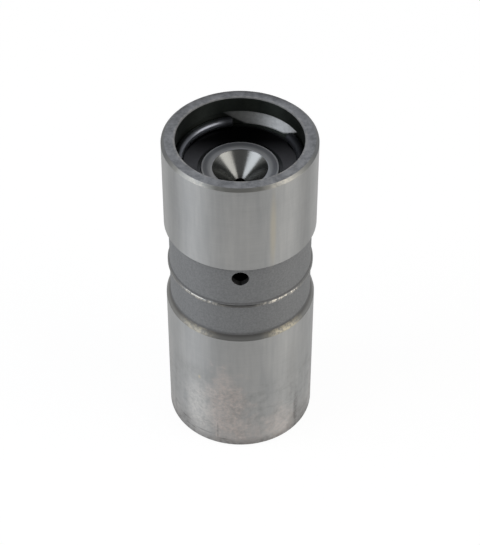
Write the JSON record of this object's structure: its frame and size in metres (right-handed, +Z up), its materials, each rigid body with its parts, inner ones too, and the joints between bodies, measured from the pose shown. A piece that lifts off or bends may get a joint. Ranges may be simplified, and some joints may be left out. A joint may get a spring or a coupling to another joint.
{
  "type": "hydraulic valve lifter",
  "caption": "Hydraulic flat-faced valve lifter: ground steel body with an oil groove, a sprung plunger and a cupped pushrod seat held by a wire ring.",
  "frame": {"origin": "centre of the flat cam face at the foot of the body", "axes": "+Z up the lifter's axis from the cam face to the open mouth; -Y towards the oil hole"},
  "size_m": [0.0214, 0.0214, 0.0508],
  "materials": {
    "ground_steel": "ground lands, matt turned grooves",
    "black_spring_wire": "blued spring wire",
    "black_oxide_steel": "black oxide, with the boss and cup machined bright",
    "plunger_steel": "ground",
    "disc_steel": "rolled strip",
    "ball_steel": "polished",
    "spring_steel": "oiled spring wire",
    "pressed_steel": "pressed strip"
  },
  "bodies": {
    "body": {"lifter_body": "ground_steel", "retaining_ring": "black_spring_wire", "plunger_spring": "spring_steel"},
    "plunger": {"plunger": "plunger_steel", "pushrod_seat": "black_oxide_steel", "metering_disc": "disc_steel", "ball_retainer": "pressed_steel", "check_ball_spring": "spring_steel"},
    "ball": {"check_ball": "ball_steel"}
  },
  "joints": [
    {"name": "plunger_slide", "type": "slide", "parent": "body", "child": "plunger", "axis": [0, 0, 1], "range_m": [-0.0045, 0], "stiffness_N_per_m": 3000, "springref_m": 0.008, "deforming": ["plunger_spring"]},
    {"name": "check_ball_lift", "type": "slide", "parent": "plunger", "child": "ball", "axis": [0, 0, 1], "range_m": [-0.0006, 0], "stiffness_N_per_m": 360, "springref_m": 0.001, "deforming": ["check_ball_spring"]}
  ]
}
